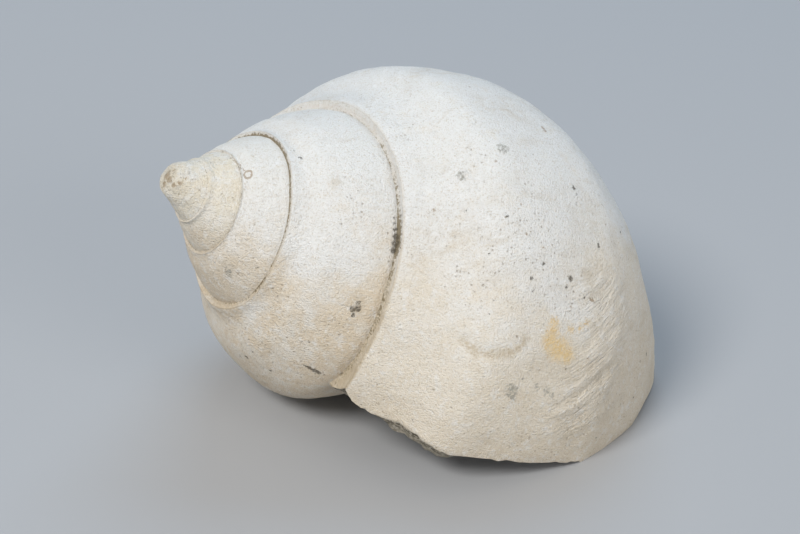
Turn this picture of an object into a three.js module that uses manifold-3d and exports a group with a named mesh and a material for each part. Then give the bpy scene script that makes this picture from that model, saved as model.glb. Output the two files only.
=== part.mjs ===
// Fossil moon snail shell: one piece of chalky fossil shell, low-spired and right-handed.
// Millimetres, +Z up. It lies on its open side, as a shell does on a shelf.
import * as THREE from 'three'
import { mergeVertices } from 'three/addons/utils/BufferGeometryUtils.js'
import Module from 'manifold-3d'

const wasm = await Module()
wasm.setup()

// Coiling: the shell spirals about its own axis, from the tip at the origin towards the base at +Z.
// Angles along the spiral are in turns, 0 where the lip meets the suture and negative back to the tip.
const wholeTurns = 5.75
const radialGrowthPerTurn = 1.767
const radialGrowthCurve = 0.006
const axialGrowthPerTurn = 2.056
const axialGrowthCurve = 0.0525
const tipSink = { depth: 8.7, width: 0.053 }
// Wear has smoothed the first whorls, from the first value to the second, and taken the tip off square.
const wearTurns = [-2.7, -3.9]
const tipCut = 2.0
const tipRounding = 0.25

// The last whorl's outline at the lip, as polar points about a centre inside the whorl.
// Angles are in degrees from straight outwards, positive towards the base.
const outlineCentre = { fromAxis: 13.5, fromTip: 48.6 }
const outlinePoints = [
  { angle: -50, radius: 14.0, swell: 0.5 },
  { angle: -22, radius: 15.3, swell: 0.51 },
  { angle: 15.5, radius: 23.65, swell: 0 },
  { angle: 38, radius: 27.0, swell: 0 },
  { angle: 64, radius: 33.3, swell: 0 },
  { angle: 88, radius: 44.3, swell: 0 },
  { angle: 108, radius: 33.9, swell: 0 },
]
// The upper points swell in the last whorls: the share of the swelling falls away back along the spiral.
const swellDecayTurns = 1.0
const swellLimitTurns = 0.08
// The next whorl sits on the third outline point, which is place 3 on the outline.
const seatPoint = outlinePoints[2]
const seatPlace = 3
// The outline closes at the axis, which is place 8, and dips a little towards it.
const axisPlace = 8
const baseDip = 1.5

// Channel at the suture: its floor runs out to a low crest.
// It narrows faster than the whorls do, and widens at the lip.
const channel = { width: 1.75, narrowing: 1.35, rise: 0.35, flare: 0.7, flareTurns: 0.09 }
// The suture strays from the seat on the whorl before: at these turns, by this share of a place.
const sutureDriftTurns = [-1.42, -1.23, -1.09, -0.98, -0.13, -0.05, -0.02]
const sutureDrift = [0, -0.24, -0.18, 0, 0, 0.14, 0.18]

// Growth lines and the lip lean back from the suture towards the base, in degrees at places on the outline.
const leanPlaces = [0, 2, 3, 4.5, 7, 8]
const leanDegrees = [0, 22.8, 28.42, 35.4, 80.5, 86]

// The broken lip: how many degrees it stands out past its mean edge, at places on the outline.
const lipPlaces = [-1, 0, 0.25, 0.5, 0.75, 1.0, 1.35, 1.7, 2.05, 2.5, 3.5, 3.95, 4.45, 4.8, 5.3]
const lipDegrees = [0, -10.5, -7, -3.9, -1.7, -0.6, -2.4, -0.5, 1.8, 0.5, 0.4, 2.2, -1.3, 0.5, 0]
// The columns behind the lip that share in its breaks.
const lipBreakColumns = 5

// Aperture: the hollow behind the lip, round the columella and up into the last whorl.
const wallThickness = 1.7
const wallGapToColumella = 1.6
const hollowTurns = 0.55
const hollowBeyondLipTurns = 0.02
// Places on the outline between which the hollow follows the outer wall, and back along the columella.
const hollowWallPlaces = [0.55, 6.4]
const hollowColumellaPlaces = [6.2, 3.45]
// The hollow closes in its last two rings, to these shares of its width.
const hollowEndShares = [0.8, 0.45]

// Resting place: direction of the coiling axis, tip to base, and the turn about it, in degrees.
const axisAzimuth = 33.6
const axisDip = 29.43
const axisSpin = -43.0
// Depth worn flat where the shell touches the table.
const restFlatDepth = 0.75
const tableMargin = 20

// Mesh fineness: columns a turn, columns that the lean takes up at the seat, and rows.
const columnsPerTurn = 38
const leanColumns = 3
const upperRows = 11
const baseRows = 13
const hollowRings = 16
const hollowWallPoints = 13
const hollowColumellaPoints = 6
const normalStep = 1e-3

const turnAngle = 2 * Math.PI
const radians = THREE.MathUtils.degToRad

function interpolate(x, xs, ys) {
  const last = xs.length - 1
  if (x <= xs[0]) return ys[0]
  if (x >= xs[last]) return ys[last]
  const k = xs.findIndex((edge) => edge > x) - 1
  return ys[k] + ((ys[k + 1] - ys[k]) * (x - xs[k])) / (xs[k + 1] - xs[k])
}

function radialGrowth(turns) {
  return Math.exp(Math.log(radialGrowthPerTurn) * turns + radialGrowthCurve * turns * turns)
}

function axialGrowth(turns) {
  return Math.exp(Math.log(axialGrowthPerTurn) * turns + axialGrowthCurve * turns * turns)
}

function polarPoint(point, swelling) {
  const radius = point.radius * (1 + point.swell * swelling)
  const angle = radians(point.angle)
  return [outlineCentre.fromAxis + radius * Math.cos(angle), outlineCentre.fromTip + radius * Math.sin(angle)]
}

const seat = polarPoint(seatPoint, 0)

// A point of the lip's outline, carried back along the spiral and shrunk with it.
function carried([fromAxis, fromTip], turns) {
  const scale = radialGrowth(turns)
  const sink = tipSink.depth * Math.exp(-scale / tipSink.width)
  return [scale * fromAxis, seat[1] * axialGrowth(turns) + scale * (fromTip - seat[1]) - sink]
}

// The polar points of the whorl's outline, the upper ones swollen.
function whorlPoints(turns) {
  const swelling = Math.exp(Math.min(turns, swellLimitTurns) / swellDecayTurns)
  return outlinePoints.map((point) => carried(polarPoint(point, swelling), turns))
}

// A smooth curve through the points, which passes point k where the position is k.
function curveThrough(points, position) {
  const k = Math.min(Math.max(Math.floor(position) - 1, 0), points.length - 4)
  const t = position - 1 - k
  const [a, b, c, d] = points.slice(k, k + 4)
  return [0, 1].map((axis) => {
    const cubic = 3 * b[axis] - a[axis] - 3 * c[axis] + d[axis]
    const square = 2 * a[axis] - 5 * b[axis] + 4 * c[axis] - d[axis]
    return 0.5 * (2 * b[axis] + (c[axis] - a[axis]) * t + square * t * t + cubic * t * t * t)
  })
}

// Place on the whorl before where the channel floor lies.
function suturePlace(turns) {
  return seatPlace + interpolate(turns, sutureDriftTurns, sutureDrift)
}

// Control points of the outline: channel floor, crest, the polar points, and the close at the axis.
function outlineControls(turns) {
  const scale = radialGrowth(turns)
  const floor = curveThrough(whorlPoints(turns - 1), suturePlace(turns) - 1)
  const flare = 1 + channel.flare * THREE.MathUtils.smoothstep(turns, -channel.flareTurns, 0)
  const width = channel.width * scale ** channel.narrowing * flare
  const crest = [floor[0] + width, floor[1] - channel.rise * scale]
  const points = whorlPoints(turns)
  const last = points[points.length - 1]
  const close = [0, last[1] - baseDip * scale]
  return [floor, crest, ...points, close, [-last[0], last[1]]]
}

// Place -1 is the channel floor and 0 its crest.
function freshOutlineAt(controls, place) {
  if (place >= 0) return curveThrough(controls, place + 1)
  return controls[0].map((value, k) => value + (place + 1) * (controls[1][k] - value))
}

// The outline after wear, which takes the bulge of the first whorls back to a straight slope.
function outlineAt(turns, place) {
  const controls = outlineControls(turns)
  const fresh = freshOutlineAt(controls, place)
  const wear = THREE.MathUtils.smoothstep(-turns, -wearTurns[0], -wearTurns[1])
  if (wear === 0 || place > seatPlace) return fresh
  const floor = controls[0]
  const edge = carried(seat, turns)
  const share = (place + 1) / (seatPlace + 1)
  const [fromAxis, alongAxis] = fresh.map((value, k) => {
    return value + wear * (floor[k] + share * (edge[k] - floor[k]) - value)
  })
  return [fromAxis, Math.max(alongAxis, tipCut)]
}

function surfacePoint(turns, place) {
  const leaned = turns - interpolate(place, leanPlaces, leanDegrees) / 360
  const [fromAxis, alongAxis] = outlineAt(leaned, place)
  const angle = leaned * turnAngle
  return new THREE.Vector3(fromAxis * Math.cos(angle), fromAxis * Math.sin(angle), alongAxis)
}

function surfaceNormal(turns, place) {
  const along = surfacePoint(turns + normalStep, place).sub(surfacePoint(turns - normalStep, place))
  const across = surfacePoint(turns, place + normalStep).sub(surfacePoint(turns, place - normalStep))
  return along.cross(across).normalize()
}

// Collects vertices and triangles, leaving out triangles with a repeated corner.
class MeshBuilder {
  constructor() {
    this.positions = []
    this.triangles = []
  }
  vertex(point) {
    this.positions.push(point.x, point.y, point.z)
    return this.positions.length / 3 - 1
  }
  triangle(a, b, c) {
    if (a !== b && b !== c && c !== a) this.triangles.push(a, b, c)
  }
  quad(a, b, c, d) {
    this.triangle(a, b, c)
    this.triangle(a, c, d)
  }
}

function rowPlaces(from, to, count) {
  return Array.from({ length: count }, (_, k) => from + ((to - from) * k) / (count - 1))
}

// The whole shell as one closed body, with the aperture still filled flush with the lip.
function filledShell() {
  const mesh = new MeshBuilder()
  const columns = Math.round(columnsPerTurn * wholeTurns)
  const seatShift = columnsPerTurn - leanColumns
  const baseStart = columns - seatShift
  const turnsAt = (column) => (column - columns) / columnsPerTurn
  // The seat on each column is where the next whorl's channel floor comes to lie.
  const seatAt = (column) => suturePlace(turnsAt(column + seatShift))
  const upperPlaces = (column) => [-1, ...rowPlaces(0, seatAt(column), upperRows)]
  const basePlaces = (column) => rowPlaces(seatAt(column), axisPlace, baseRows)
  const lastUpper = upperRows
  const shiftedTurns = (column, place) => {
    const share = Math.max(0, 1 - (columns - column) / lipBreakColumns)
    return turnsAt(column) + (share * interpolate(place, lipPlaces, lipDegrees)) / 360
  }
  const apex = mesh.vertex(new THREE.Vector3(0, 0, tipCut - tipRounding))
  const baseEnd = mesh.vertex(new THREE.Vector3(0, 0, surfacePoint(0, axisPlace).z))
  const upper = []
  for (let column = 0; column <= columns; column++) {
    upper.push(
      upperPlaces(column).map((place, row) => {
        if (column === 0) return apex
        if (row === 0) return column <= seatShift ? apex : upper[column - seatShift][lastUpper]
        return mesh.vertex(surfacePoint(shiftedTurns(column, place), place))
      }),
    )
  }
  const base = []
  for (let column = baseStart; column <= columns; column++) {
    base.push(
      basePlaces(column).map((place, row) => {
        if (row === 0) return upper[column][lastUpper]
        if (row === baseRows - 1) return baseEnd
        return mesh.vertex(surfacePoint(shiftedTurns(column, place), place))
      }),
    )
  }
  for (const strip of [upper, base]) {
    for (let i = 0; i < strip.length - 1; i++) {
      for (let j = 0; j < strip[i].length - 1; j++) {
        mesh.quad(strip[i][j], strip[i + 1][j], strip[i + 1][j + 1], strip[i][j + 1])
      }
    }
  }
  // The flush face across the aperture joins the lip to the whorl that it closes on.
  const lip = upper[columns]
  for (let j = 1; j < lip.length - 1; j++) mesh.triangle(lip[j], lip[0], lip[j + 1])
  const first = base[0]
  const end = base[base.length - 1]
  for (let j = 0; j < first.length - 1; j++) mesh.quad(end[j], first[j], first[j + 1], end[j + 1])
  return mesh
}

// The hollow of the aperture: rings inside the last whorl, from past the lip back along the spiral.
function hollow() {
  const mesh = new MeshBuilder()
  const outerPlaces = rowPlaces(...hollowWallPlaces, hollowWallPoints)
  const innerPlaces = rowPlaces(...hollowColumellaPlaces, hollowColumellaPoints)
  const backTurns = (columnsPerTurn - leanColumns) / columnsPerTurn
  const rings = []
  for (let k = 0; k < hollowRings; k++) {
    const turns = hollowBeyondLipTurns - ((hollowTurns + hollowBeyondLipTurns) * k) / (hollowRings - 1)
    const scale = radialGrowth(turns)
    const outer = outerPlaces.map((place) =>
      surfacePoint(turns, place).addScaledVector(surfaceNormal(turns, place), -wallThickness * scale),
    )
    const inner = innerPlaces.map((place) => {
      const back = turns - backTurns
      return surfacePoint(back, place).addScaledVector(surfaceNormal(back, place), wallGapToColumella * scale)
    })
    const ring = [...outer, ...inner]
    const middle = ring.reduce((sum, point) => sum.add(point), new THREE.Vector3()).divideScalar(ring.length)
    const shrink = hollowEndShares[k - (hollowRings - hollowEndShares.length)] ?? 1
    rings.push({ middle, points: ring.map((point) => middle.clone().lerp(point, shrink)) })
  }
  const ids = rings.map((ring) => ring.points.map((point) => mesh.vertex(point)))
  const count = ids[0].length
  const mouth = mesh.vertex(rings[0].middle)
  const depth = mesh.vertex(rings[hollowRings - 1].middle)
  for (let j = 0; j < count; j++) {
    const next = (j + 1) % count
    for (let k = 0; k < hollowRings - 1; k++) {
      mesh.quad(ids[k][j], ids[k][next], ids[k + 1][next], ids[k + 1][j])
    }
    mesh.triangle(mouth, ids[0][next], ids[0][j])
    mesh.triangle(depth, ids[hollowRings - 1][j], ids[hollowRings - 1][next])
  }
  return mesh
}

function toSolid(positions, triangles) {
  const vertProperties = new Float32Array(positions)
  const triVerts = new Uint32Array(triangles)
  return new wasm.Manifold(new wasm.Mesh({ numProp: 3, vertProperties, triVerts }))
}

// Turns a mesh from the shell's own axes to the way it lies.
function laidDown(mesh) {
  const turn = new THREE.Matrix4().makeRotationZ(radians(axisAzimuth))
  turn.multiply(new THREE.Matrix4().makeRotationY(radians(90 + axisDip)))
  turn.multiply(new THREE.Matrix4().makeRotationZ(radians(axisSpin)))
  const attribute = new THREE.Float32BufferAttribute(mesh.positions, 3).applyMatrix4(turn)
  return toSolid(attribute.array, mesh.triangles)
}

// A slab whose top is the table, set a little above the lowest point to wear the contacts flat.
function tableSlab(solid) {
  const { min, max } = solid.boundingBox()
  const size = [max[0] - min[0] + tableMargin, max[1] - min[1] + tableMargin, tableMargin]
  const box = new THREE.BoxGeometry(...size)
  const top = min[2] + restFlatDepth
  box.translate((min[0] + max[0]) / 2, (min[1] + max[1]) / 2, top - tableMargin / 2)
  box.deleteAttribute('normal')
  box.deleteAttribute('uv')
  const merged = mergeVertices(box)
  return toSolid(merged.attributes.position.array, merged.index.array)
}

function toGeometry(solid) {
  const { vertProperties, triVerts } = solid.getMesh()
  const geometry = new THREE.BufferGeometry()
  geometry.setAttribute('position', new THREE.BufferAttribute(vertProperties, 3))
  geometry.setIndex(new THREE.BufferAttribute(triVerts, 1))
  geometry.computeVertexNormals()
  return geometry
}

// The origin is under the middle of the shell's box, on the table.
function centredOnTable(geometry) {
  geometry.computeBoundingBox()
  const { min, max } = geometry.boundingBox
  geometry.translate(-(min.x + max.x) / 2, -(min.y + max.y) / 2, -min.z)
  return geometry
}

function shell() {
  const open = laidDown(filledShell()).subtract(laidDown(hollow()))
  const rested = open.subtract(tableSlab(open))
  const chalk = new THREE.MeshStandardMaterial({ color: 0xe6e1d6, roughness: 0.95, metalness: 0 })
  const mesh = new THREE.Mesh(centredOnTable(toGeometry(rested)), chalk)
  mesh.name = 'shell'
  return mesh
}

const part = new THREE.Group()
part.add(shell())

export default part
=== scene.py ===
"""Fossil moon snail shell: chalky white fossil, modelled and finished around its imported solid."""
import math

import bmesh
import bpy
import numpy as np
from mathutils import Matrix, Vector, noise
from mathutils.bvhtree import BVHTree


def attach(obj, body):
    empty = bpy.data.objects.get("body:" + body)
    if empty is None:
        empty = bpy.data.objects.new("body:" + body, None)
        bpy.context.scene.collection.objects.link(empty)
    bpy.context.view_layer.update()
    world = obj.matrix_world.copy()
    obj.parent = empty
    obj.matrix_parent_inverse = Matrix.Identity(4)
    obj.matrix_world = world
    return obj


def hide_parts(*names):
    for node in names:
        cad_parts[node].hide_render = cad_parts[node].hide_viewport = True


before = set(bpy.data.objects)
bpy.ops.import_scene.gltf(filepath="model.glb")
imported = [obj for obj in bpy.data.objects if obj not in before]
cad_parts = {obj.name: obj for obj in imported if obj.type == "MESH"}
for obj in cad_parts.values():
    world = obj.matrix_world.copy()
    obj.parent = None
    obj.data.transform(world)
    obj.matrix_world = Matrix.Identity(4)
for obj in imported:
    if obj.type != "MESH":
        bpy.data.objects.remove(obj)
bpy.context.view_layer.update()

# The form is in millimetres and in the shell's own axes, the tip at the origin and the base towards +Z.
# Turns count along the spiral, 0 where the lip meets the suture and negative back to the tip.
# Places count across the outline: -1 the channel's floor, 0 its crest, 3 the next whorl's seat, 8 the axis.
MM = 0.001
WHOLE_TURNS = 5.75
RADIAL_GROWTH = (1.767, 0.006)
AXIAL_GROWTH = (2.056, 0.0525)
TIP_SINK = {"depth": 8.7, "width": 0.053}
WEAR_TURNS = (-2.7, -3.9)
TIP_CUT = 2.0
TIP_ROUNDING = 0.5

# The last whorl's outline at the lip, as polar points about a centre inside the whorl.
OUTLINE_CENTRE = (13.5, 48.6)
OUTLINE_ANGLES = np.radians([-50, -22, 15.5, 38, 64, 88, 108])
OUTLINE_RADII = np.array([14.0, 15.3, 23.65, 27.0, 33.3, 44.3, 33.9])
OUTLINE_SWELLS = np.array([0.5, 0.51, 0, 0, 0, 0, 0])
SWELL_DECAY_TURNS = 1.0
SWELL_LIMIT_TURNS = 0.08
SEAT = 2
SEAT_PLACE = 3
AXIS_PLACE = 8
BASE_DIP = 1.5

# Channel at the suture: a floor with a low crest, narrowing faster than the whorls and flaring at the lip.
CHANNEL = {
    "width": 1.75,
    "narrowing": 1.35,
    "rise": 0.35,
    "flare": 0.7,
    "flare_turns": 0.09,
    "groove": 0.22,
    "groove_lean": 0.7,
}
# The suture strays from its place on the whorl before, at these turns, by this share of a place.
SUTURE_DRIFT_TURNS = [-1.42, -1.23, -1.09, -0.98, -0.13, -0.05, -0.02]
SUTURE_DRIFT = [0, -0.24, -0.18, 0, 0, 0.14, 0.18]

# Growth lines and the lip lean back from the suture towards the base, in degrees at places on the outline.
LEAN_PLACES = [0, 2, 3, 4.5, 7, 8]
LEAN_DEGREES = [0, 22.8, 28.42, 35.4, 80.5, 86]

# The broken lip: how many degrees it stands out past its mean edge, at places on the outline.
LIP_PLACES = [-1, 0, 0.25, 0.5, 0.75, 1.0, 1.35, 1.7, 2.05, 2.5, 3.5, 3.95, 4.45, 4.8, 5.1, 5.35, 5.7]
LIP_DEGREES = [0, -10.5, -7, -3.9, -1.7, -0.6, -2.4, -0.5, 1.8, 0.5, 0.4, 1.6, -1.3, 0.9, 1.7, 1.2, 0]
LIP_BREAK_TURNS = 0.13
LIP_BREAK_EASE = 1.5
LIP_CHIPS = {"depth": 0.8, "per_place": 6.5, "seed": 3.1, "places": (0, 0.8, 5.6, 7)}
# Where the break slants, the inner edge of the rim stands out past the outer one, between these places.
LIP_BEVEL = {"degrees": 4.5, "places": (0.9, 1.2, 1.9, 2.3)}

# Aperture: wall thickness at the lip, gap to the columella, how far back the hollow goes, and how it closes.
WALL_THICKNESS = 1.7
COLUMELLA_GAP = 1.6
HOLLOW_TURNS = 0.55
HOLLOW_CLOSING = {"from": 0.8, "over": 0.2, "least": 0.02}
# Places on the hollow's wall and on its columella side, for places on the lip and on the whorl before.
LIP_OF_WALL = [-1, 1.2, 5.8, 8]
WALL_PLACES = [0.55, 1.35, 5.7, 6.4]
SEAT_OF_COLUMELLA = [3, 3.6, 5.8, 8]
COLUMELLA_PLACES = [3.45, 3.7, 5.6, 6.2]

# Resting place: direction of the coiling axis, turn about it, and the tip's place.
AXIS_AZIMUTH = 33.6
AXIS_DIP = 29.43
AXIS_SPIN = -43.0
TIP_PLACE = np.array([-34.913, -16.870, 37.299])

# Mesh: columns a turn, columns that the lean takes up at the seat, where columns thin out, and rows.
COLUMNS_PER_TURN = 456
LEAN_COLUMNS = 36
FULL_TURNS = 1
HALF_TURNS = 2
COARSEST_STEP = 4
COARSE_BASE_PLACES = (6.6, 7.4)
CHANNEL_ROWS = 6
UPPER_ROWS = 46
BASE_ROWS = 64
RIM_ROWS = 5
HOLLOW_RINGS = 46
RING_SPREAD = 1.15
NORMAL_STEP = 2e-3
RIM_STEP = 0.01
SHARP_DEGREES = 50

# Marks of age, each as picture column, picture row and radius in millimetres.
DARK_SPOTS = [
    (394, 218, 0.12), (394.5, 224, 0.16), (395, 230, 0.24), (395.5, 237, 0.42), (395.5, 244, 0.5),
    (393.5, 250, 0.36), (401, 216, 0.2), (300.5, 158, 0.24), (294, 150, 0.12), (359, 192, 0.1),
    (240, 356, 0.2), (247, 357, 0.22), (253, 351, 0.14), (301, 342, 0.15), (309, 342, 0.17),
    (327, 345, 0.11), (271, 370, 0.2), (257, 267, 0.14), (358, 303, 0.28), (352.5, 309, 0.34),
    (358, 309, 0.42), (353, 315, 0.24), (574, 188, 0.3), (577, 194, 0.14), (507, 216, 0.14),
    (466, 211, 0.15), (489, 254, 0.13), (599, 246, 0.28), (571, 279, 0.36), (531.5, 278, 0.2),
    (533, 291, 0.18), (566, 287, 0.18), (584, 298, 0.13), (541, 306, 0.12), (489, 314, 0.13),
    (646, 354, 0.3), (543.6, 263, 0.26), (620, 232, 0.2), (633, 397, 0.16), (579, 408, 0.14),
    (512, 445, 0.13), (596, 438, 0.15),
]
BROWN_SPOTS = [
    (543, 128, 0.3), (545, 131, 0.26), (507, 143, 0.13), (496, 161, 0.14), (434, 210, 0.2),
    (521, 204, 0.14), (519, 209, 0.12), (527, 234, 0.17), (531, 232, 0.14), (543, 248, 0.17),
    (592, 300, 0.32), (588, 359, 0.2), (640, 361, 0.22), (571, 307, 0.2), (166, 175, 0.5),
    (169, 180, 0.42), (174, 185, 0.35), (164, 184, 0.36), (180, 183, 0.3), (186, 178.5, 0.14),
    (174, 170, 0.2),
]
GREY_PATCHES = [
    (511, 390, 0.9), (513, 395, 0.7), (522, 379, 0.4), (530, 372, 0.25), (536, 388, 0.45),
    (547, 391, 0.5), (552, 395, 0.4), (598, 390, 0.25), (462, 176, 0.7), (503, 149, 0.8),
    (229, 272, 0.7), (305, 366, 0.3),
]
OCHRE_PATCHES = [
    (554, 322, 0.5), (553, 331, 0.75), (551, 342, 1.0), (559, 349, 1.25), (567, 356, 0.9),
    (570, 330, 0.4), (580, 328, 0.35), (586, 322, 0.35),
]
TAN_PATCHES = [
    (335, 182, 0.8), (455, 234, 0.6), (587, 276, 1.2), (592, 296, 0.8), (500, 452, 0.6),
    (358, 300, 0.9), (480, 351, 0.5), (486, 354, 0.5), (492, 356, 0.55), (498, 356, 0.5),
    (504, 355, 0.55), (511, 353, 0.5), (518, 350, 0.5), (523, 345, 0.45), (526, 339, 0.4),
    (551, 131, 0.4), (233, 265, 0.9), (225, 262, 0.6),
]
# Where the fine pits are thickest.
PITTED_PATCHES = [(530, 245, 7.0), (560, 285, 5.0), (485, 285, 4.0), (280, 356, 6.0), (240, 338, 4.0)]
# The dark streak under the whorl before the last, and the crack by the ring, as picture points.
STREAK = {"points": [(297, 363), (307, 366), (313, 369.5), (319, 372.5)], "radii": (0.09, 0.34)}
CRACK = {"points": [(234, 160), (240, 166), (244, 170.5)], "radii": (0.1, 0.14)}
LINE_SPACING = 0.2
RING = {"centre": (248, 174.5), "radius": 0.5, "half_width": 0.13}
# The round scar on the last whorl, a groove with a low bank beside it.
SCAR = {
    "points": [(463, 341), (471, 349), (490, 355), (504, 354), (518, 350), (526, 340)],
    "depth": 0.12,
    "width": 0.7,
    "bank": 0.6,
    "bank_at": 1.5,
    "bank_width": 0.9,
}
# The patch where the growth lines are crumpled into slanting ridges.
CRUMPLED = {
    "points": [(605, 300), (610, 335), (600, 370), (580, 410)],
    "radius": 8.0,
    "full_share": 0.2,
    "height": 0.26,
    "slant": 0.033,
    "per_turn": 140,
    "per_place": 2.4,
}
# Relief of the whole surface: sizes and heights in millimetres, and growth lines by their number in a turn.
LUMPS = {"size": 9, "height": 0.2, "shrinking": 0.8, "inside": 0.12}
GRAINS = {"size": 1.3, "height": 0.015, "worn": 0.08, "rim": 0.25, "inside": 0.09}
DENTS = {"size": 2.6, "height": 0.03}
GROWTH_LINES = {"per_turn": 52, "per_place": 0.9, "height": 0.06}
WORN_TIP = {"from": 3.2, "over": 1.2}

# Dirt and painted shade in the channel: its strength and its tan cover at these turns.
CHANNEL_TURNS = [
    -3.4, -2.3, -2.0, -1.45, -1.3, -1.12, -0.88, -0.6, -0.33, -0.3, -0.215, -0.2, -0.178, -0.168, -0.1,
    -0.03,
]
CHANNEL_DIRT_AND_SHADE = [0.2, 0.35, 0.25, 1.0, 1.1, 0.6, 0.3, 0.1, 0.15, 0.4, 0.7, 1.4, 1.4, 0.7, 0.6, 0.3]
CHANNEL_TAN = [0.2, 0.25, 0.5, 0.5, 0.4, 0.45, 0.8, 0.3, 0.25, 0.25, 0.3, 0.4, 0.5, 0.5, 0.8, 1.0]

# Camera, as the photograph was taken: 800 by 534 pixels, looking down along +Y.
PICTURE = (800, 534)
CAMERA_FROM_TIP = np.array([31.3, -195.989, 83.35])
CAMERA_DIP = 25.66
CAMERA_ROLL = 3.81
SENSOR_WIDTH = 36
LENS = 76.6

# Studio, in metres: each light's place, size, watts and colour, the point they face, and the surroundings.
LIGHTS = {
    "key": ((-0.5, -0.75, 0.85), 0.45, 11.1, (1.0, 0.985, 0.96)),
    "fill": ((0.75, -0.7, 0.35), 0.7, 3.2, (1.0, 0.98, 0.95)),
    "sky": ((0.1, 0.7, 0.9), 0.8, 4.9, (0.5, 0.74, 1.0)),
}
LIT_POINT = (0, 0, 0.02)
SURROUNDINGS = {"colour": (0.93, 0.96, 1.0, 1), "strength": 0.34}
FLOOR_HALF_SIDE = 3.0


def smoothstep(x, low, high):
    share = np.clip((x - low) / (high - low), 0, 1)
    return share * share * (3 - 2 * share)


def between(x, edges):
    """1 inside the range and 0 outside it, eased over its edges."""
    rise_from, rise_to, fall_from, fall_to = edges
    return smoothstep(x, rise_from, rise_to) * (1 - smoothstep(x, fall_from, fall_to))


# Form of the shell


def growth(rates, turns):
    rate, curve = rates
    return np.exp(math.log(rate) * turns + curve * turns**2)


def polar_point(index, swelling):
    radius = OUTLINE_RADII[index] * (1 + OUTLINE_SWELLS[index] * swelling)
    angle = OUTLINE_ANGLES[index]
    return OUTLINE_CENTRE[0] + radius * np.cos(angle), OUTLINE_CENTRE[1] + radius * np.sin(angle)


SEAT_POINT = polar_point(SEAT, 0)


def carried(point, turns):
    """A point of the lip's outline, carried back along the spiral and shrunk with it."""
    scale = growth(RADIAL_GROWTH, turns)
    sink = TIP_SINK["depth"] * np.exp(-scale / TIP_SINK["width"])
    along_axis = SEAT_POINT[1] * growth(AXIAL_GROWTH, turns) + scale * (point[1] - SEAT_POINT[1]) - sink
    return np.stack([scale * point[0], along_axis], axis=-1)


def whorl_points(turns):
    """The polar points of the whorl's outline at each of the turns, the upper ones swollen."""
    swelling = np.exp(np.minimum(turns, SWELL_LIMIT_TURNS) / SWELL_DECAY_TURNS)
    return np.stack([carried(polar_point(k, swelling), turns) for k in range(len(OUTLINE_RADII))])


def curve_through(points, position):
    """A smooth curve through the points, passing point k where position is k."""
    first = np.clip(np.floor(position) - 1, 0, len(points) - 4).astype(int)
    t = (position - 1 - first)[..., None]
    a, b, c, d = (np.take_along_axis(points, (first + k)[None, ..., None], 0)[0] for k in range(4))
    return b + 0.5 * ((c - a) * t + (2 * a - 5 * b + 4 * c - d) * t**2 + (3 * b - a - 3 * c + d) * t**3)


def suture_place(turns):
    """Place on the whorl before where the channel floor lies."""
    return SEAT_PLACE + np.interp(turns, SUTURE_DRIFT_TURNS, SUTURE_DRIFT)


def outline_controls(turns):
    """Channel floor, crest, the polar points, and the close at the axis, at each of the turns."""
    scale = growth(RADIAL_GROWTH, turns)
    floor = curve_through(whorl_points(turns - 1), suture_place(turns) - 1)
    flare = 1 + CHANNEL["flare"] * smoothstep(turns, -CHANNEL["flare_turns"], 0)
    width = CHANNEL["width"] * scale ** CHANNEL["narrowing"] * flare
    crest = floor + np.stack([width, -CHANNEL["rise"] * scale], axis=-1)
    points = whorl_points(turns)
    last = points[-1]
    close = last * [0, 1] - np.stack([0 * scale, BASE_DIP * scale], axis=-1)
    return np.stack([floor, crest, *points, close, last * [-1, 1]])


def outline_at(turns, place):
    """Distance from the axis and along it, at a place on the outline, worn near the tip."""
    controls = outline_controls(turns)
    curve = curve_through(controls, place + 1)
    share = np.clip(place + 1, 0, 1)[..., None]
    scale = growth(RADIAL_GROWTH, turns)[..., None]
    channel = controls[0] + share * (controls[1] - controls[0])
    channel = channel + [0, CHANNEL["groove"]] * np.sin(np.pi * share ** CHANNEL["groove_lean"]) * scale
    fresh = np.where(place[..., None] < 0, channel, curve)
    wear = smoothstep(-turns, -WEAR_TURNS[0], -WEAR_TURNS[1])[..., None]
    edge = carried(SEAT_POINT, turns)
    straight = controls[0] + (place[..., None] + 1) / (SEAT_PLACE + 1) * (edge - controls[0])
    worn = np.where(place[..., None] <= SEAT_PLACE, fresh + wear * (straight - fresh), fresh)
    over = worn[..., 1] - TIP_CUT
    worn[..., 1] = TIP_CUT + 0.5 * (over + np.sqrt(over**2 + TIP_ROUNDING**2))
    return worn


def surface_point(turns, place):
    """The point in the shell's own axes, with the growth lines' lean."""
    turns, place = np.broadcast_arrays(np.asarray(turns, float), np.asarray(place, float))
    leaned = turns - np.interp(place, LEAN_PLACES, LEAN_DEGREES) / 360
    outline = outline_at(leaned, place)
    radius = outline[..., 0]
    angle = leaned * 2 * np.pi
    return np.stack([radius * np.cos(angle), radius * np.sin(angle), outline[..., 1]], axis=-1)


def surface_normal(turns, place):
    along = surface_point(turns + NORMAL_STEP, place) - surface_point(turns - NORMAL_STEP, place)
    across = surface_point(turns, place + NORMAL_STEP) - surface_point(turns, place - NORMAL_STEP)
    normal = np.cross(along, across)
    return normal / np.maximum(np.linalg.norm(normal, axis=-1, keepdims=True), 1e-12)


def chip_at(place):
    return noise.fractal(Vector((place * LIP_CHIPS["per_place"], LIP_CHIPS["seed"], 0)), 0.7, 2.1, 3)


def lip_break_turns(place):
    """How far the broken lip reaches past its mean edge, in turns."""
    degrees = np.interp(place, LIP_PLACES, LIP_DEGREES)
    chips = np.reshape([chip_at(p) for p in np.ravel(place)], np.shape(place))
    return (degrees + LIP_CHIPS["depth"] * chips * between(place, LIP_CHIPS["places"])) / 360


# Mesh of the shell


def corners_of(grid):
    return [grid[:-1, :-1], grid[1:, :-1], grid[1:, 1:], grid[:-1, 1:]]


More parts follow.
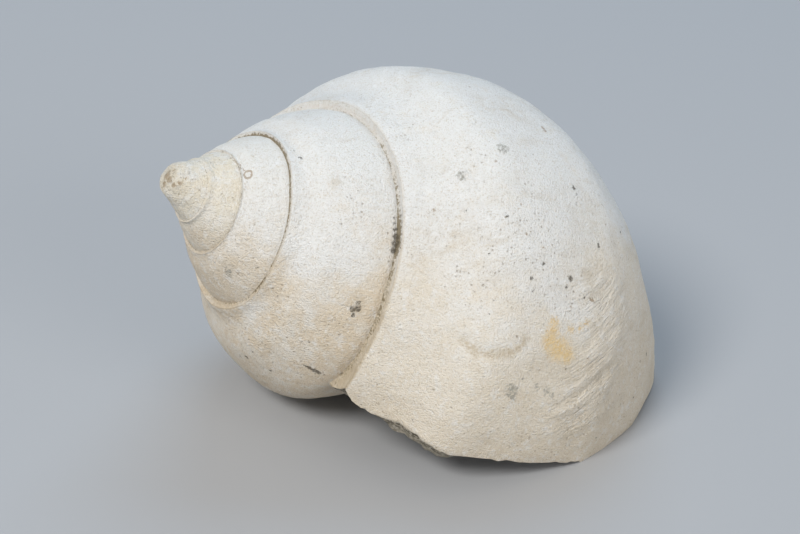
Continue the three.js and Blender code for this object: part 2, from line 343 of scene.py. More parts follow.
class ShellMesh:
    """Vertices with their place in growth, and quads whose corners carry that place."""

    def __init__(self):
        self.points, self.normals, self.facts = [], [], []
        self.faces, self.corners = [], []
        self.count = 0

    def add(self, points, normals, turns, place, inside):
        shape = points.shape[:-1]
        facts = np.stack(np.broadcast_arrays(turns, place, inside), axis=-1)
        self.points.append(points.reshape(-1, 3))
        self.normals.append(normals.reshape(-1, 3))
        self.facts.append(np.broadcast_to(facts, (*shape, 3)).reshape(-1, 3))
        ids = self.count + np.arange(math.prod(shape)).reshape(shape)
        self.count += math.prod(shape)
        return ids

    def quads(self, ids, facts):
        """Faces over a grid of vertex numbers, leaving out corners that repeat."""
        numbers = np.stack(corners_of(ids), axis=-1).reshape(-1, 4)
        places = np.stack(corners_of(facts), axis=-2).reshape(-1, 4, 3)
        for face, place in zip(numbers.tolist(), places):
            kept = [k for k in range(4) if face[k] != face[k - 1]]
            if len(kept) > 2:
                self.faces.append([face[k] for k in kept])
                self.corners.append(place[kept])


def facts_of(turns, place, inside):
    """Turns, place, and how far in: 0 outside, to 1 over the broken rim, and to 2 in the hollow."""
    return np.stack(np.broadcast_arrays(turns[:, None], place, inside), axis=-1).astype(float)


def used_columns(total):
    """Column numbers from the tip to the lip: all in the last whorls, fewer in the small ones."""
    full, half = FULL_TURNS * COLUMNS_PER_TURN, HALF_TURNS * COLUMNS_PER_TURN
    every_second = np.arange(full, half, 2)
    back = np.concatenate([np.arange(0, full), every_second, np.arange(half, total, COARSEST_STEP)])
    return total - back[::-1]


def lip_shift(columns, total, place):
    """How far the columns near the lip move with its broken edge, in turns."""
    share = np.clip(1 - (total - columns) / (LIP_BREAK_TURNS * COLUMNS_PER_TURN), 0, 1) ** LIP_BREAK_EASE
    return share[:, None] * lip_break_turns(place[-1])[None, :]


def seat_places(turns):
    """Place on each column where the next whorl's channel floor comes to lie."""
    return suture_place(turns + 1 - LEAN_COLUMNS / COLUMNS_PER_TURN)


def outer_strips(mesh):
    """The outside of all whorls: from the channel to the seat, then the last whorl's base."""
    total = round(COLUMNS_PER_TURN * WHOLE_TURNS / COARSEST_STEP) * COARSEST_STEP
    shift = COLUMNS_PER_TURN - LEAN_COLUMNS
    columns = used_columns(total)
    own = (columns - total) / COLUMNS_PER_TURN
    seat = seat_places(own)[:, None]
    channel = np.linspace(-1, 0, CHANNEL_ROWS, endpoint=False)
    channel = np.broadcast_to(channel, (len(columns), CHANNEL_ROWS))
    place = np.concatenate([channel, seat * np.linspace(0, 1, UPPER_ROWS)], axis=1)
    turns = own[:, None] + lip_shift(columns, total, place)
    ids = mesh.add(surface_point(turns, place), surface_normal(turns, place), own[:, None], place, 0)
    tip = np.array([[0, 0, TIP_CUT - TIP_ROUNDING]])
    apex = mesh.add(tip, np.array([[0, 0, -1.0]]), own[0], -1, 0)[0]
    ids[0, :] = apex
    under = np.searchsorted(columns, columns - shift, side="right") - 1
    ids[:, 0] = np.where(under < 0, apex, ids[np.maximum(under, 0), -1])
    mesh.quads(ids, facts_of(own, place, 0))

    base_columns = columns[columns >= total - shift]
    base_own = (base_columns - total) / COLUMNS_PER_TURN
    base_seat = seat_places(base_own)[:, None]
    base_place = base_seat + (AXIS_PLACE - base_seat) * np.linspace(0, 1, BASE_ROWS)
    base_turns = base_own[:, None] + lip_shift(base_columns, total, base_place)
    points = surface_point(base_turns, base_place)
    base = mesh.add(points, surface_normal(base_turns, base_place), base_own[:, None], base_place, 0)
    base[:, 0] = ids[columns >= total - shift, -1]
    numbers = np.arange(len(base_columns))
    half_place, coarsest_place = COARSE_BASE_PLACES
    for row, row_place in enumerate(base_place[-1]):
        step = 1 if row_place < half_place else 2 if row_place < coarsest_place else COARSEST_STEP
        base[:, row] = base[numbers // step * step, row]
    base[:, -1] = base[-1, -1]
    mesh.quads(base, facts_of(base_own, base_place, 0))
    return ids[-1], place[-1], base, base_place[-1]


def hollow_rings(outer_place, inner_place, turns, depth, back):
    """Rings of points round the hollow, from the rim to its closed end, and each ring's middle."""
    wall_place = np.interp(outer_place, LIP_OF_WALL, WALL_PLACES)
    columella_place = np.interp(inner_place, SEAT_OF_COLUMELLA, COLUMELLA_PLACES)
    scale = growth(RADIAL_GROWTH, turns)[:, None, None]
    fade = np.clip(1 + turns / LIP_BREAK_TURNS, 0, 1)[:, None] ** LIP_BREAK_EASE
    bevel = between(outer_place, LIP_BEVEL["places"])
    lip_turns = lip_break_turns(outer_place) + LIP_BEVEL["degrees"] / 360 * bevel
    wall_turns = turns[:, None] + fade * lip_turns[None, :]
    wall = surface_point(wall_turns, wall_place)
    wall = wall - WALL_THICKNESS * scale * surface_normal(wall_turns, wall_place)
    columella_turns = turns[:, None] + back
    columella = surface_point(columella_turns, columella_place)
    columella = columella + COLUMELLA_GAP * scale * surface_normal(columella_turns, columella_place)
    rings = np.concatenate([wall, columella], axis=1)
    for corner, before, after in ((0, 1, -1), (len(outer_place) - 1, -2, 0)):
        rings[:, corner] = (wall[:, before] + columella[:, after]) / 2
    middle = rings.mean(axis=1, keepdims=True)
    closed = np.clip((depth - HOLLOW_CLOSING["from"]) / HOLLOW_CLOSING["over"], 0, 1)
    closing = np.sqrt(np.clip(1 - closed**2, 0, 1))[:, None, None]
    rings = middle + (rings - middle) * np.maximum(closing, HOLLOW_CLOSING["least"])
    return rings, middle, np.concatenate([wall_place, columella_place])


def aperture(mesh, lip, lip_place, base, base_place):
    """The broken rim and the hollow behind it, joined to the lip, the columella and the whorl before."""
    back = -(COLUMNS_PER_TURN - LEAN_COLUMNS) / COLUMNS_PER_TURN
    loop = np.concatenate([lip, base[-1, 1:], base[0, -2:0:-1]])
    outer_place = np.concatenate([lip_place, base_place[1:]])
    depth = np.concatenate([[0.0], np.linspace(0, 1, HOLLOW_RINGS)[1:] ** RING_SPREAD])
    turns = -HOLLOW_TURNS * depth
    rings, middle, place = hollow_rings(outer_place, base_place[-2:0:-1], turns, depth, back)
    inward = middle - rings
    inward = inward / np.maximum(np.linalg.norm(inward, axis=-1, keepdims=True), 1e-9)

    edge = np.concatenate(mesh.points)[loop]
    shares = np.linspace(0, 1, RIM_ROWS + 1)[1:-1]
    rim = edge[None] + shares[:, None, None] * (rings[:1] - edge[None])
    ahead = surface_point(RIM_STEP, place) - surface_point(-RIM_STEP, place)
    ahead = ahead / np.linalg.norm(ahead, axis=-1, keepdims=True)
    rim_ids = mesh.add(rim, np.broadcast_to(ahead, rim.shape), 0, place, 1)
    ring_ids = mesh.add(rings, inward, turns[:, None], place, 2)
    last = mesh.add(middle[-1], inward[-1, :1], turns[-1], SEAT_PLACE, 2)
    ids = np.concatenate([loop[None], rim_ids, ring_ids, np.broadcast_to(last, (1, len(loop)))])
    around = np.concatenate([ids, ids[:, :1]], axis=1)
    steps = np.concatenate([np.zeros(1 + len(shares)), turns, turns[-1:]])
    inside = np.concatenate([np.linspace(0, 1, 2 + len(shares))[:-1], 1 + depth, [2]])
    facts = facts_of(steps, np.concatenate([place, place[:1]]), inside[:, None])
    facts[:, len(outer_place):-1, 0] += back
    mesh.quads(around, facts)


# Marks, found on the surface where the picture shows them


def seen_at(tree, camera, column, row):
    """The point of the shell that shows at a place in the picture, in metres."""
    width, height = PICTURE
    reach = SENSOR_WIDTH / LENS / width
    ray = Vector(((column - width / 2) * reach, (height / 2 - row) * reach, -1))
    hit = tree.ray_cast(camera.matrix_world.translation, camera.matrix_world.to_3x3() @ ray)[0]
    if hit is None:
        raise ValueError(f"no shell at {column}, {row}")
    return hit


def spots_on(tree, camera, spots):
    return [(seen_at(tree, camera, column, row) / MM, radius) for column, row, radius in spots]


def line_on(tree, camera, line):
    return [seen_at(tree, camera, *point) / MM for point in line["points"]]


def line_spots(tree, camera, line):
    """Spots close together along a line of picture points, with radii from one end's to the other's."""
    ends = line_on(tree, camera, line)
    lengths = np.cumsum([0] + [(b - a).length for a, b in zip(ends, ends[1:])])
    steps = np.linspace(0, lengths[-1], 2 + int(lengths[-1] / LINE_SPACING))
    middles = np.stack([np.interp(steps, lengths, axis) for axis in zip(*ends)], axis=-1)
    radii = np.linspace(*line["radii"], len(steps))
    return [(Vector(middle), radius) for middle, radius in zip(middles, radii)]


def find_marks(tree, camera):
    """The marks that the picture shows, as middles and radii on the shell."""
    spots = {
        "dark": DARK_SPOTS,
        "brown": BROWN_SPOTS,
        "grey": GREY_PATCHES,
        "ochre": OCHRE_PATCHES,
        "tan": TAN_PATCHES,
        "pitted": PITTED_PATCHES,
    }
    marks = {name: spots_on(tree, camera, given) for name, given in spots.items()}
    marks["dark"] += line_spots(tree, camera, STREAK)
    marks["brown"] += line_spots(tree, camera, CRACK)
    marks["ring"] = seen_at(tree, camera, *RING["centre"]) / MM
    return marks


def distance_to_line(points, ends):
    """How far each point lies from a broken line, in the line's own measure."""
    nearest = np.full(len(points), np.inf)
    for a, b in zip(ends, ends[1:]):
        a, b = np.array(a), np.array(b)
        share = np.clip((points - a) @ (b - a) / ((b - a) @ (b - a)), 0, 1)
        nearest = np.minimum(nearest, np.linalg.norm(points - a - share[:, None] * (b - a), axis=1))
    return nearest


# Relief


def height_inside(at, inside):
    """The rough broken rim, and the smoother hollow."""
    lump = noise.fractal(at / LUMPS["size"], 0.9, 2.0, 3)
    grain = noise.fractal(at / GRAINS["size"], 0.8, 2.1, 3)
    return LUMPS["inside"] * lump + GRAINS["rim" if inside < 1.5 else "inside"] * grain


def height_outside(at, turns, place, crumple):
    """Lumps, dents, grain and growth lines, with the crumpled ridges where they are."""
    scale = math.exp(math.log(RADIAL_GROWTH[0]) * turns)
    lump = noise.fractal(at / LUMPS["size"], 0.9, 2.0, 3)
    grain = noise.fractal(at / GRAINS["size"], 0.8, 2.1, 3)
    dent = noise.fractal(at / DENTS["size"], 0.7, 2.0, 3)
    line_at = (turns * GROWTH_LINES["per_turn"], place * GROWTH_LINES["per_place"], 2.0)
    line = noise.fractal(Vector(line_at), 0.6, 2.2, 3)
    slanted = turns + CRUMPLED["slant"] * place
    ridge_at = (slanted * CRUMPLED["per_turn"], place * CRUMPLED["per_place"], 7.0)
    ridge = noise.fractal(Vector(ridge_at), 0.7, 2.0, 3)
    worn = min(max((-turns - WORN_TIP["from"]) / WORN_TIP["over"], 0), 1)
    height = LUMPS["height"] * scale ** LUMPS["shrinking"] * lump
    height += (GRAINS["height"] + GRAINS["worn"] * worn) * grain
    height += GROWTH_LINES["height"] * scale * line
    return height + CRUMPLED["height"] * crumple * ridge + DENTS["height"] * dent


def relief(points, facts, placed, tree, camera):
    """Height along the normal in millimetres, and the marks: distance to the scar, crumpling and height."""
    scar = distance_to_line(placed, line_on(tree, camera, SCAR))
    crumple = distance_to_line(placed, line_on(tree, camera, CRUMPLED))
    crumple = 1 - smoothstep(crumple, CRUMPLED["full_share"] * CRUMPLED["radius"], CRUMPLED["radius"])
    heights = np.zeros(len(points))
    for k, (point, (turns, place, inside)) in enumerate(zip(points.tolist(), facts.tolist())):
        if inside > 0.5:
            heights[k] = height_inside(Vector(point), inside)
        else:
            heights[k] = height_outside(Vector(point), turns, place, crumple[k])
    groove = -SCAR["depth"] * np.exp(-((scar / SCAR["width"]) ** 2))
    bank = SCAR["bank"] * SCAR["depth"] * np.exp(-(((scar - SCAR["bank_at"]) / SCAR["bank_width"]) ** 2))
    heights = heights + np.where(facts[:, 2] > 0.5, 0, groove + bank)
    return heights, np.stack([scar, crumple, heights], axis=-1)


def laid_down(points):
    """From the shell's own axes to the way that it lies."""
    turn = Matrix.Rotation(math.radians(AXIS_AZIMUTH), 3, "Z")
    turn = turn @ Matrix.Rotation(math.radians(90 + AXIS_DIP), 3, "Y")
    turn = turn @ Matrix.Rotation(math.radians(AXIS_SPIN), 3, "Z")
    return points @ np.array(turn).T + TIP_PLACE


def drop_unused_points(data):
    """Takes out the points that no face uses, where a strip takes over its neighbour's edge."""
    bm = bmesh.new()
    bm.from_mesh(data)
    bmesh.ops.delete(bm, geom=[v for v in bm.verts if not v.link_faces], context="VERTS")
    bm.to_mesh(data)
    bm.free()


def flatten_contacts(data):
    """Cuts the worn contact patches flat at the table."""
    bm = bmesh.new()
    bm.from_mesh(data)
    geometry = bm.verts[:] + bm.edges[:] + bm.faces[:]
    table = {"plane_co": (0, 0, 0), "plane_no": (0, 0, -1)}
    cut = bmesh.ops.bisect_plane(bm, geom=geometry, clear_outer=True, **table)
    rims = [e for e in cut["geom_cut"] if isinstance(e, bmesh.types.BMEdge)]
    bmesh.ops.holes_fill(bm, edges=rims, sides=0)
    bm.to_mesh(data)
    bm.free()


def channel_cover(corners):
    """Dirt with painted shade, and tan cover of the channel at each face corner, by its turns along the
    spiral.
    """
    turns = corners[:, 0]
    cover = [np.interp(turns, CHANNEL_TURNS, CHANNEL_DIRT_AND_SHADE), np.interp(turns, CHANNEL_TURNS, CHANNEL_TAN)]
    return np.stack([*cover, np.zeros(len(turns))], axis=-1)


def make_shell(camera):
    """The shell's piece, and a tree of its smooth surface for finding where marks lie."""
    mesh = ShellMesh()
    lip, lip_place, base, base_place = outer_strips(mesh)
    aperture(mesh, lip, lip_place, base, base_place)
    points = np.concatenate(mesh.points)
    normals = np.concatenate(mesh.normals)
    facts = np.concatenate(mesh.facts)
    smooth = laid_down(points)
    tree = BVHTree.FromPolygons((smooth * MM).tolist(), mesh.faces)
    heights, marks = relief(points, facts, smooth, tree, camera)
    placed = laid_down(points + heights[:, None] * normals) * MM

    data = bpy.data.meshes.new("fossil_shell")
    data.from_pydata(placed.tolist(), [], mesh.faces)
    corners = np.concatenate(mesh.corners)
    for name, values in (("growth", corners), ("channel", channel_cover(corners))):
        data.attributes.new(name, "FLOAT_VECTOR", "CORNER").data.foreach_set("vector", values.ravel())
    data.attributes.new("marks", "FLOAT_VECTOR", "POINT").data.foreach_set("vector", marks.ravel())
    drop_unused_points(data)
    flatten_contacts(data)
    data.shade_smooth()
    data.set_sharp_from_angle(angle=math.radians(SHARP_DEGREES))
    piece = bpy.data.objects.new("fossil_shell", data)
    bpy.context.scene.collection.objects.link(piece)
    return piece, tree


# Materials


class Paint:
    """Adds nodes to one material, each in a short call."""

    def __init__(self, name):
        self.material = bpy.data.materials.new(name)
        self.material.use_nodes = True
        self.tree = self.material.node_tree
        self.surface = self.tree.nodes["Principled BSDF"]

    def node(self, kind, **settings):
        node = self.tree.nodes.new(f"ShaderNode{kind}")
        for name, value in settings.items():
            setattr(node, name, value)
        return node

    def give(self, socket, value):
        if isinstance(value, bpy.types.NodeSocket):
            self.tree.links.new(value, socket)
        else:
            socket.default_value = value

    def fill(self, node, given):
        for name, value in given.items():
            self.give(node.inputs[name], value)

    def math(self, operation, *values):
        node = self.node("Math", operation=operation)
        for socket, value in zip(node.inputs, values):
            self.give(socket, value)
        return node.outputs[0]

    def vector(self, operation, *values, output="Vector"):
        node = self.node("VectorMath", operation=operation)
        for socket, value in zip(node.inputs, values):
            self.give(socket, value)
        return node.outputs[output]

    def attribute(self, name):
        return self.node("Attribute", attribute_name=name).outputs["Vector"]

    def parts(self, vector):
        node = self.node("SeparateXYZ")
        self.give(node.inputs[0], vector)
        return node.outputs

    def fade(self, value, start, end, low=0.0, high=1.0):
        """Eases from low to high as the value goes from start to end."""
        node = self.node("MapRange", interpolation_type="SMOOTHSTEP")
        self.fill(node, {"Value": value, "From Min": start, "From Max": end, "To Min": low, "To Max": high})
        return node.outputs["Result"]

    def noise(self, at, per_unit, detail, roughness, colour=False):
        node = self.node("TexNoise")
        self.fill(node, {"Vector": at, "Scale": per_unit, "Detail": detail, "Roughness": roughness})
        return node.outputs["Color" if colour else "Fac"]

    def cells(self, at, per_unit):
        """Distance to the nearest cell point, in cells, and a random number for each cell."""
        node = self.node("TexVoronoi")
        self.fill(node, {"Vector": at, "Scale": per_unit})
        return node.outputs["Distance"], self.parts(node.outputs["Color"])[0]

    def mix(self, share, first, second):
        node = self.node("Mix", data_type="RGBA", clamp_factor=True)
        self.give(node.inputs[0], share)
        self.give(node.inputs[6], first)
        self.give(node.inputs[7], second)
        return node.outputs[2]

    def both(self, first, second):
        return self.math("MULTIPLY", first, second)

    def most(self, first, second):
        return self.math("MAXIMUM", first, second)

    def stray(self, value, texture, amount):
        """The value, moved up where the texture is light and down where it is dark."""
        return self.math("MULTIPLY_ADD", self.math("SUBTRACT", texture, 0.5), amount, value)

    def spots(self, at, spots):
        """Distance to the nearest spot's middle, in its radii."""
        nearest = None
        for middle, radius in spots:
            away = self.vector("DISTANCE", at, tuple(middle), output="Value")
            away = self.math("DIVIDE", away, radius)
            nearest = away if nearest is None else self.math("MINIMUM", nearest, away)
        return nearest


def colour(red, green, blue):
    return (red, green, blue, 1)


CHALK = colour(0.80, 0.795, 0.775)
CREAM = colour(0.77, 0.695, 0.58)
LOW_CREAM = colour(0.73, 0.645, 0.52)
SPIRE_CREAM = colour(0.77, 0.70, 0.56)
OLD_CREAM = colour(0.71, 0.60, 0.455)
WHITE = colour(0.86, 0.86, 0.85)
DIRT = colour(0.10, 0.085, 0.06)
# Dark seam along the channel floor: dirt, and painted shade under the overhanging whorl.
SEAM_DIRT_AND_SHADE = colour(0.21, 0.165, 0.09)
BROWN = colour(0.30, 0.19, 0.09)
TAN = colour(0.52, 0.42, 0.28)
GREY = colour(0.30, 0.29, 0.25)
OCHRE = colour(0.78, 0.56, 0.26)
RIM = colour(0.30, 0.27, 0.21)
SEDIMENT = colour(0.40, 0.36, 0.30)
FLOOR_GREY = colour(0.42, 0.425, 0.435)

# Textures: waves in a millimetre, detail and roughness.
TEXTURES = {
    "wide": (0.09, 3, 0.55),
    "patches": (0.22, 3, 0.6),
    "blotch": (0.38, 4, 0.6),
    "mottle": (0.85, 5, 0.65),
    "broken": (1.3, 4, 0.75),
    "grain": (2.5, 3, 0.62),
    "fine": (4.6, 2, 0.6),
}
JAGGED = (3.1, 3, 0.7)
RAGGED = (2.3, 4, 0.75)
# Textures that are drawn out along the growth lines.
STREAKS = {"per_turn": 95, "per_place": 1.4, "detail": 4, "roughness": 0.6}
FINE_RIDGES = {"per_turn": 340, "per_place": 5, "detail": 3, "roughness": 0.6}
# How far the bands of colour wander with the textures, in millimetres, and in turns on the spire.
BAND_WANDER = {"wide": 26, "blotch": 16}
SPIRE_WANDER = 1.4
# Where each band of colour starts and is full: heights above the table in millimetres, or turns.
CREAM_HEIGHTS = (33, 19)
LOW_CREAM_HEIGHTS = (20, 4)
OLD_CREAM_HEIGHTS = (33, 17)
PITTED_HEIGHTS = (15, 5)
SPIRE_TURNS = (-1.9, -3.2)
OLD_TURNS = (-0.75, -1.05)
# Fine colour over the chalk: the texture, where it starts and is full, its share there, and the colour.
FINE_COLOURS = [
    ("mottle", 0.5, 0.68, 0.5, WHITE),
    ("blotch", 0.52, 0.72, 0.28, CREAM),
    ("streak", 0.55, 0.72, 0.18, TAN),
    ("grain", 0.55, 0.7, 0.2, TAN),
    ("fine", 0.54, 0.7, 0.4, TAN),
    ("fine", 0.45, 0.3, 0.5, WHITE),
]
# Fine pits and larger flecks in a millimetre, and how far noise pushes their edges, in millimetres.
PITS_PER_MM = 2.1
FLECKS_PER_MM = 0.42
PIT_PUSH = 0.5
# How far noise pushes the edges of the marks, in millimetres.
SPOT_PUSH = 1.3
PATCH_PUSH = 2.8
RING_PUSH = 0.6
SCAR_WANDER = 3.5
# How strongly each mark covers the chalk.
PIT_COVER = 0.6
TAN_COVER = 0.3
# Tan in the relief's low spots: dirt, and painted shade of the recesses.
LOW_SPOT_DIRT_AND_SHADE_COVER = 0.35
BROWN_COVER = 0.6
DARK_COVER = 0.84
RIM_DIRT_COVER = 0.9
# How much each texture raises the surface, by shares of the bump's height in millimetres.
BUMP_SHARES = {
    "fine": 0.6,
    "grain": 0.25,
    "ridges": 1.4,
    "streak": 0.3,
    "mottle": 0.3,
    "holes": -0.4,
    "dark": -0.2,
}
BUMP_HEIGHT = 0.56
BUMP_STRENGTH = 0.9
CHALK_SPECULAR = 0.18
FLOOR_ROUGHNESS = 0.9


class Chalk(Paint):
    """The fossil's paint, with the facts about each point and the textures at hand."""

    def __init__(self):
        super().__init__("fossil_chalk")
        self.at = self.vector("SCALE", self.node("TexCoord").outputs["Object"])
        self.at.node.inputs["Scale"].default_value = 1 / MM
        self.turns, self.place, self.inside = self.parts(self.attribute("growth"))
        self.dirtiness, self.tan_cover = self.parts(self.attribute("channel"))[:2]
        self.from_scar, self.crumple, self.raised = self.parts(self.attribute("marks"))
        self.textures = {name: self.noise(self.at, *look) for name, look in TEXTURES.items()}
        self.textures["streak"] = self.lines(self.turns, STREAKS)
        self.level = self.parts(self.at)[2]
        for name, amount in BAND_WANDER.items():
            self.level = self.stray(self.level, self.textures[name], amount)

    def lines(self, turns, look):
        """Noise drawn out along the growth lines."""
        across = self.node("CombineXYZ")
        self.give(across.inputs[0], self.math("MULTIPLY", turns, look["per_turn"]))
        self.give(across.inputs[1], self.math("MULTIPLY", self.place, look["per_place"]))
        return self.noise(across.outputs[0], 1.0, look["detail"], look["roughness"])

    def pushed(self, by, amount):
        """The coordinates, pushed about by a coloured noise."""
        return self.vector("MULTIPLY_ADD", by, (amount, amount, amount), self.at)


def chalk_colour(paint):
    """Warmer towards the table and on the spire, with mottling, growth streaks and grain."""
    blotch = paint.textures["blotch"]
    body = paint.mix(paint.fade(paint.level, *CREAM_HEIGHTS, 0, 0.85), CHALK, CREAM)
    body = paint.mix(paint.fade(paint.level, *LOW_CREAM_HEIGHTS), body, LOW_CREAM)
    age = paint.stray(paint.turns, blotch, SPIRE_WANDER)
    spire = paint.both(paint.fade(age, *SPIRE_TURNS), paint.fade(blotch, 0.35, 0.6, 0.25, 0.85))
    body = paint.mix(spire, body, SPIRE_CREAM)
    old = paint.both(paint.fade(age, *OLD_TURNS), paint.fade(paint.level, *OLD_CREAM_HEIGHTS, 0, 0.9))
    body = paint.mix(old, body, OLD_CREAM)
    for name, start, full, share, layer in FINE_COLOURS:
        body = paint.mix(paint.fade(paint.textures[name], start, full, 0, share), body, layer)
    return body


def pit_cover(paint, marks):
    """Many fine pits in patches, and scattered larger flecks."""
    patchy = paint.fade(paint.textures["patches"], 0.46, 0.66, 0.1, 0.8)
    patchy = paint.most(patchy, paint.fade(paint.level, *PITTED_HEIGHTS, 0, 0.8))
    patchy = paint.most(patchy, paint.fade(paint.spots(paint.at, marks["pitted"]), 1.5, 0.6, 0, 0.75))
    jagged = paint.pushed(paint.noise(paint.at, *JAGGED, colour=True), PIT_PUSH)
    pit_away, pit_random = paint.cells(jagged, PITS_PER_MM)
    pit_share = paint.both(paint.fade(pit_random, 0.5, 0.95), patchy)
    pits = paint.both(paint.fade(pit_away, 0.34, 0.1), pit_share)
    fleck_away, fleck_random = paint.cells(jagged, FLECKS_PER_MM)
    flecks = paint.both(paint.fade(fleck_away, 0.09, 0.03), paint.fade(fleck_random, 0.78, 0.84))
    return paint.most(pits, flecks)


def picture_marks(paint, body, marks):
    """The marks that the picture shows, with ragged edges, and apart from them the dark ones' cover."""
    grain = paint.textures["grain"]
    mottle = paint.textures["mottle"]
    ragged = paint.vector("SUBTRACT", paint.noise(paint.at, *RAGGED, colour=True), (0.5, 0.5, 0.5))
    at_spots = paint.pushed(ragged, SPOT_PUSH)
    at_patches = paint.pushed(ragged, PATCH_PUSH)
    tan = paint.fade(paint.spots(at_patches, marks["tan"]), 1.5, 0.5)
    ochre = paint.fade(paint.spots(at_patches, marks["ochre"]), 2.1, 0.3)
    grey = paint.fade(paint.spots(at_patches, marks["grey"]), 1.3, 0.6)
    ring = paint.vector("DISTANCE", paint.pushed(ragged, RING_PUSH), tuple(marks["ring"]), output="Value")
    ring = paint.math("ABSOLUTE", paint.math("SUBTRACT", ring, RING["radius"]))
    ring = paint.math("DIVIDE", ring, RING["half_width"])
    brown = paint.fade(paint.math("MINIMUM", paint.spots(at_spots, marks["brown"]), ring), 1.4, 0.7)
    dark = paint.fade(paint.spots(at_spots, marks["dark"]), 1.35, 0.75)

    body = paint.mix(paint.both(tan, TAN_COVER), body, TAN)
    from_scar = paint.stray(paint.from_scar, mottle, SCAR_WANDER)
    scar = paint.both(paint.fade(from_scar, 0.9, 0.1), paint.fade(grain, 0.42, 0.6, 0.1, 0.55))
    body = paint.mix(scar, body, TAN)
    # Tan in the low spots of the relief: dirt settled there, and painted shade of these recesses.
    low_spot_dirt_and_shade = paint.both(paint.fade(paint.raised, 0.02, -0.22), paint.fade(mottle, 0.35, 0.6))
    body = paint.mix(paint.both(low_spot_dirt_and_shade, LOW_SPOT_DIRT_AND_SHADE_COVER), body, TAN)
    body = paint.mix(paint.both(ochre, paint.fade(grain, 0.3, 0.6, 0.45, 0.85)), body, OCHRE)
    body = paint.mix(paint.both(grey, paint.fade(grain, 0.35, 0.6, 0.15, 0.75)), body, GREY)
    body = paint.mix(paint.both(brown, BROWN_COVER), body, BROWN)
    return body, paint.both(dark, paint.fade(grain, 0.32, 0.55, 0.45, 1))


def channel_dirt_and_shade(paint, body):
    """Tan cover out to the channel's crest, with a thin painted shadow line along the crest, and a dark line
    of dirt and painted shade along its floor under the overhanging whorl.
    """
    place = paint.place
    outside = paint.fade(paint.inside, 0.4, 0.1)
    floor = paint.both(paint.fade(place, 0.05, -0.05), paint.fade(place, -0.1, -0.7, 0.3, 1))
    # The tan line along the crest is a thin painted shadow beside its raised edge.
    crest = paint.fade(paint.math("ABSOLUTE", place), 0.13, 0.02, 0, 1.2)
    filled = paint.both(paint.fade(paint.turns, -0.13, -0.07), paint.fade(place, 0.05, -0.1))
    cover = paint.both(paint.most(paint.most(floor, crest), filled), outside)
    patchy = paint.both(paint.tan_cover, paint.fade(paint.textures["mottle"], 0.3, 0.6, 0.35, 0.8))
    body = paint.mix(paint.both(cover, patchy), body, TAN)

    # The dark seam along the floor is dirt, and painted shade where the whorl above overhangs the channel.
    ragged_place = paint.stray(place, paint.textures["grain"], 2.0)
    ragged_place = paint.math("MULTIPLY_ADD", paint.dirtiness, -0.6, ragged_place)
    seam_dirt_and_shade = paint.both(paint.fade(ragged_place, -0.95, -1.3), outside)
    seam_dirt_and_shade = paint.both(seam_dirt_and_shade, paint.fade(place, 0.06, 0))
    broken = paint.math("MULTIPLY_ADD", paint.dirtiness, 0.2, paint.textures["broken"])
    seam_dirt_and_shade = paint.both(seam_dirt_and_shade, paint.fade(broken, 0.5, 0.66, 0.25, 0.85))
    return paint.mix(seam_dirt_and_shade, body, SEAM_DIRT_AND_SHADE)


def rim_and_hollow(paint, body):
    """The broken rim's dark rough face, and sediment over the hollow behind it."""
    grain = paint.textures["grain"]
    on_wall = paint.fade(paint.turns, -0.85, -0.7)
    rim = paint.both(paint.fade(paint.inside, 0.02, 0.2), on_wall)
    rim = paint.both(rim, paint.fade(grain, 0.4, 0.62, 1, 0.5))
    body = paint.mix(rim, body, RIM)
    dirt = paint.both(paint.fade(paint.inside, 0.75, 0.25), paint.fade(grain, 0.58, 0.42, 0, 0.9))
    dirt = paint.both(dirt, paint.fade(paint.place, 3.4, 2.4, 0.15, 1))
    body = paint.mix(paint.both(dirt, paint.both(rim, RIM_DIRT_COVER)), body, DIRT)
    patchy = paint.fade(paint.textures["blotch"], 0.3, 0.7, 0.95, 0.7)
    return paint.mix(paint.both(paint.fade(paint.inside, 1.0, 1.2), patchy), body, SEDIMENT)


def chalk_bump(paint, holes, dark):
    """Fine grain, streaks, ridges and pits, which stand out in raking light."""
    slanted = paint.math("MULTIPLY_ADD", paint.place, CRUMPLED["slant"], paint.turns)
    ridges = paint.both(paint.lines(slanted, FINE_RIDGES), paint.crumple)
    raised = {**paint.textures, "ridges": ridges, "holes": holes, "dark": dark}
    heights = 0.0
    for name, share in BUMP_SHARES.items():
        heights = paint.math("MULTIPLY_ADD", raised[name], share, heights)
    bump = paint.node("Bump")
    paint.fill(bump, {"Distance": BUMP_HEIGHT * MM, "Strength": BUMP_STRENGTH, "Height": heights})
    return bump.outputs[0]


def chalk_material(marks):
    """Worn chalky shell without gloss: cool white above, creamy below, pitted, with dirt and painted shade
    in the channel.
    """
    paint = Chalk()
    holes = pit_cover(paint, marks)
    body = paint.mix(paint.both(holes, PIT_COVER), chalk_colour(paint), BROWN)
    body, dark = picture_marks(paint, body, marks)
    body = channel_dirt_and_shade(paint, body)
    body = paint.mix(paint.both(dark, DARK_COVER), body, DIRT)
    paint.give(paint.surface.inputs["Base Color"], rim_and_hollow(paint, body))
    paint.give(paint.surface.inputs["Normal"], chalk_bump(paint, holes, dark))
    roughness = paint.fade(paint.textures["mottle"], 0.3, 0.7, 0.82, 0.96)
    paint.give(paint.surface.inputs["Roughness"], roughness)
    paint.surface.inputs["Specular IOR Level"].default_value = CHALK_SPECULAR
    return paint.material


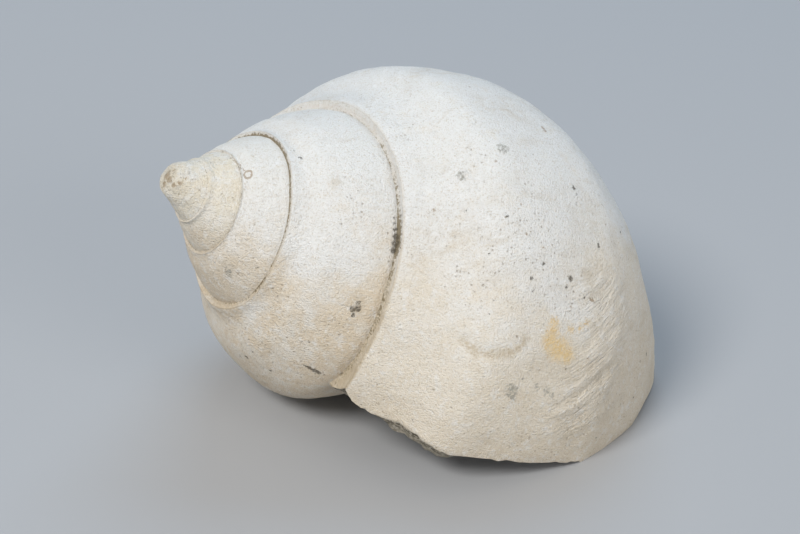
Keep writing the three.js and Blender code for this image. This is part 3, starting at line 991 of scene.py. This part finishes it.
def floor_material():
    paint = Paint("studio_floor")
    paint.surface.inputs["Base Color"].default_value = FLOOR_GREY
    paint.surface.inputs["Roughness"].default_value = FLOOR_ROUGHNESS
    return paint.material


# Studio


def make_camera():
    camera = bpy.data.objects.new("camera", bpy.data.cameras.new("camera"))
    camera.data.sensor_width = SENSOR_WIDTH
    camera.data.lens = LENS
    camera.data.clip_start = 0.01
    dip, roll = math.radians(CAMERA_DIP), math.radians(CAMERA_ROLL)
    turn = Matrix.Rotation(math.pi / 2 - dip, 4, "X") @ Matrix.Rotation(roll, 4, "Z")
    camera.matrix_world = Matrix.Translation(Vector((TIP_PLACE + CAMERA_FROM_TIP) * MM)) @ turn
    bpy.context.scene.collection.objects.link(camera)
    bpy.context.scene.camera = camera
    return camera


def make_floor():
    half = FLOOR_HALF_SIDE
    corners = [(-half, -half, 0), (half, -half, 0), (half, half, 0), (-half, half, 0)]
    data = bpy.data.meshes.new("floor")
    data.from_pydata(corners, [], [(0, 1, 2, 3)])
    floor = bpy.data.objects.new("floor", data)
    data.materials.append(floor_material())
    bpy.context.scene.collection.objects.link(floor)


def area_light(name, place, size, watts, tint):
    light = bpy.data.lights.new(name, "AREA")
    light.shape = "DISK"
    light.size = size
    light.energy = watts
    light.color = tint
    lamp = bpy.data.objects.new(name, light)
    lamp.location = place
    lamp.rotation_euler = (Vector(LIT_POINT) - Vector(place)).to_track_quat("-Z", "Y").to_euler()
    bpy.context.scene.collection.objects.link(lamp)


def make_lights():
    for name, (place, size, watts, tint) in LIGHTS.items():
        area_light(name, place, size, watts, tint)
    world = bpy.data.worlds.new("studio")
    world.use_nodes = True
    background = world.node_tree.nodes["Background"]
    background.inputs["Color"].default_value = SURROUNDINGS["colour"]
    background.inputs["Strength"].default_value = SURROUNDINGS["strength"]
    bpy.context.scene.world = world


camera = make_camera()
make_floor()
make_lights()
shell, surface_tree = make_shell(camera)
shell.data.materials.append(chalk_material(find_marks(surface_tree, camera)))
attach(shell, "root")
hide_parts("shell")
bpy.context.scene.view_settings.view_transform = "Standard"
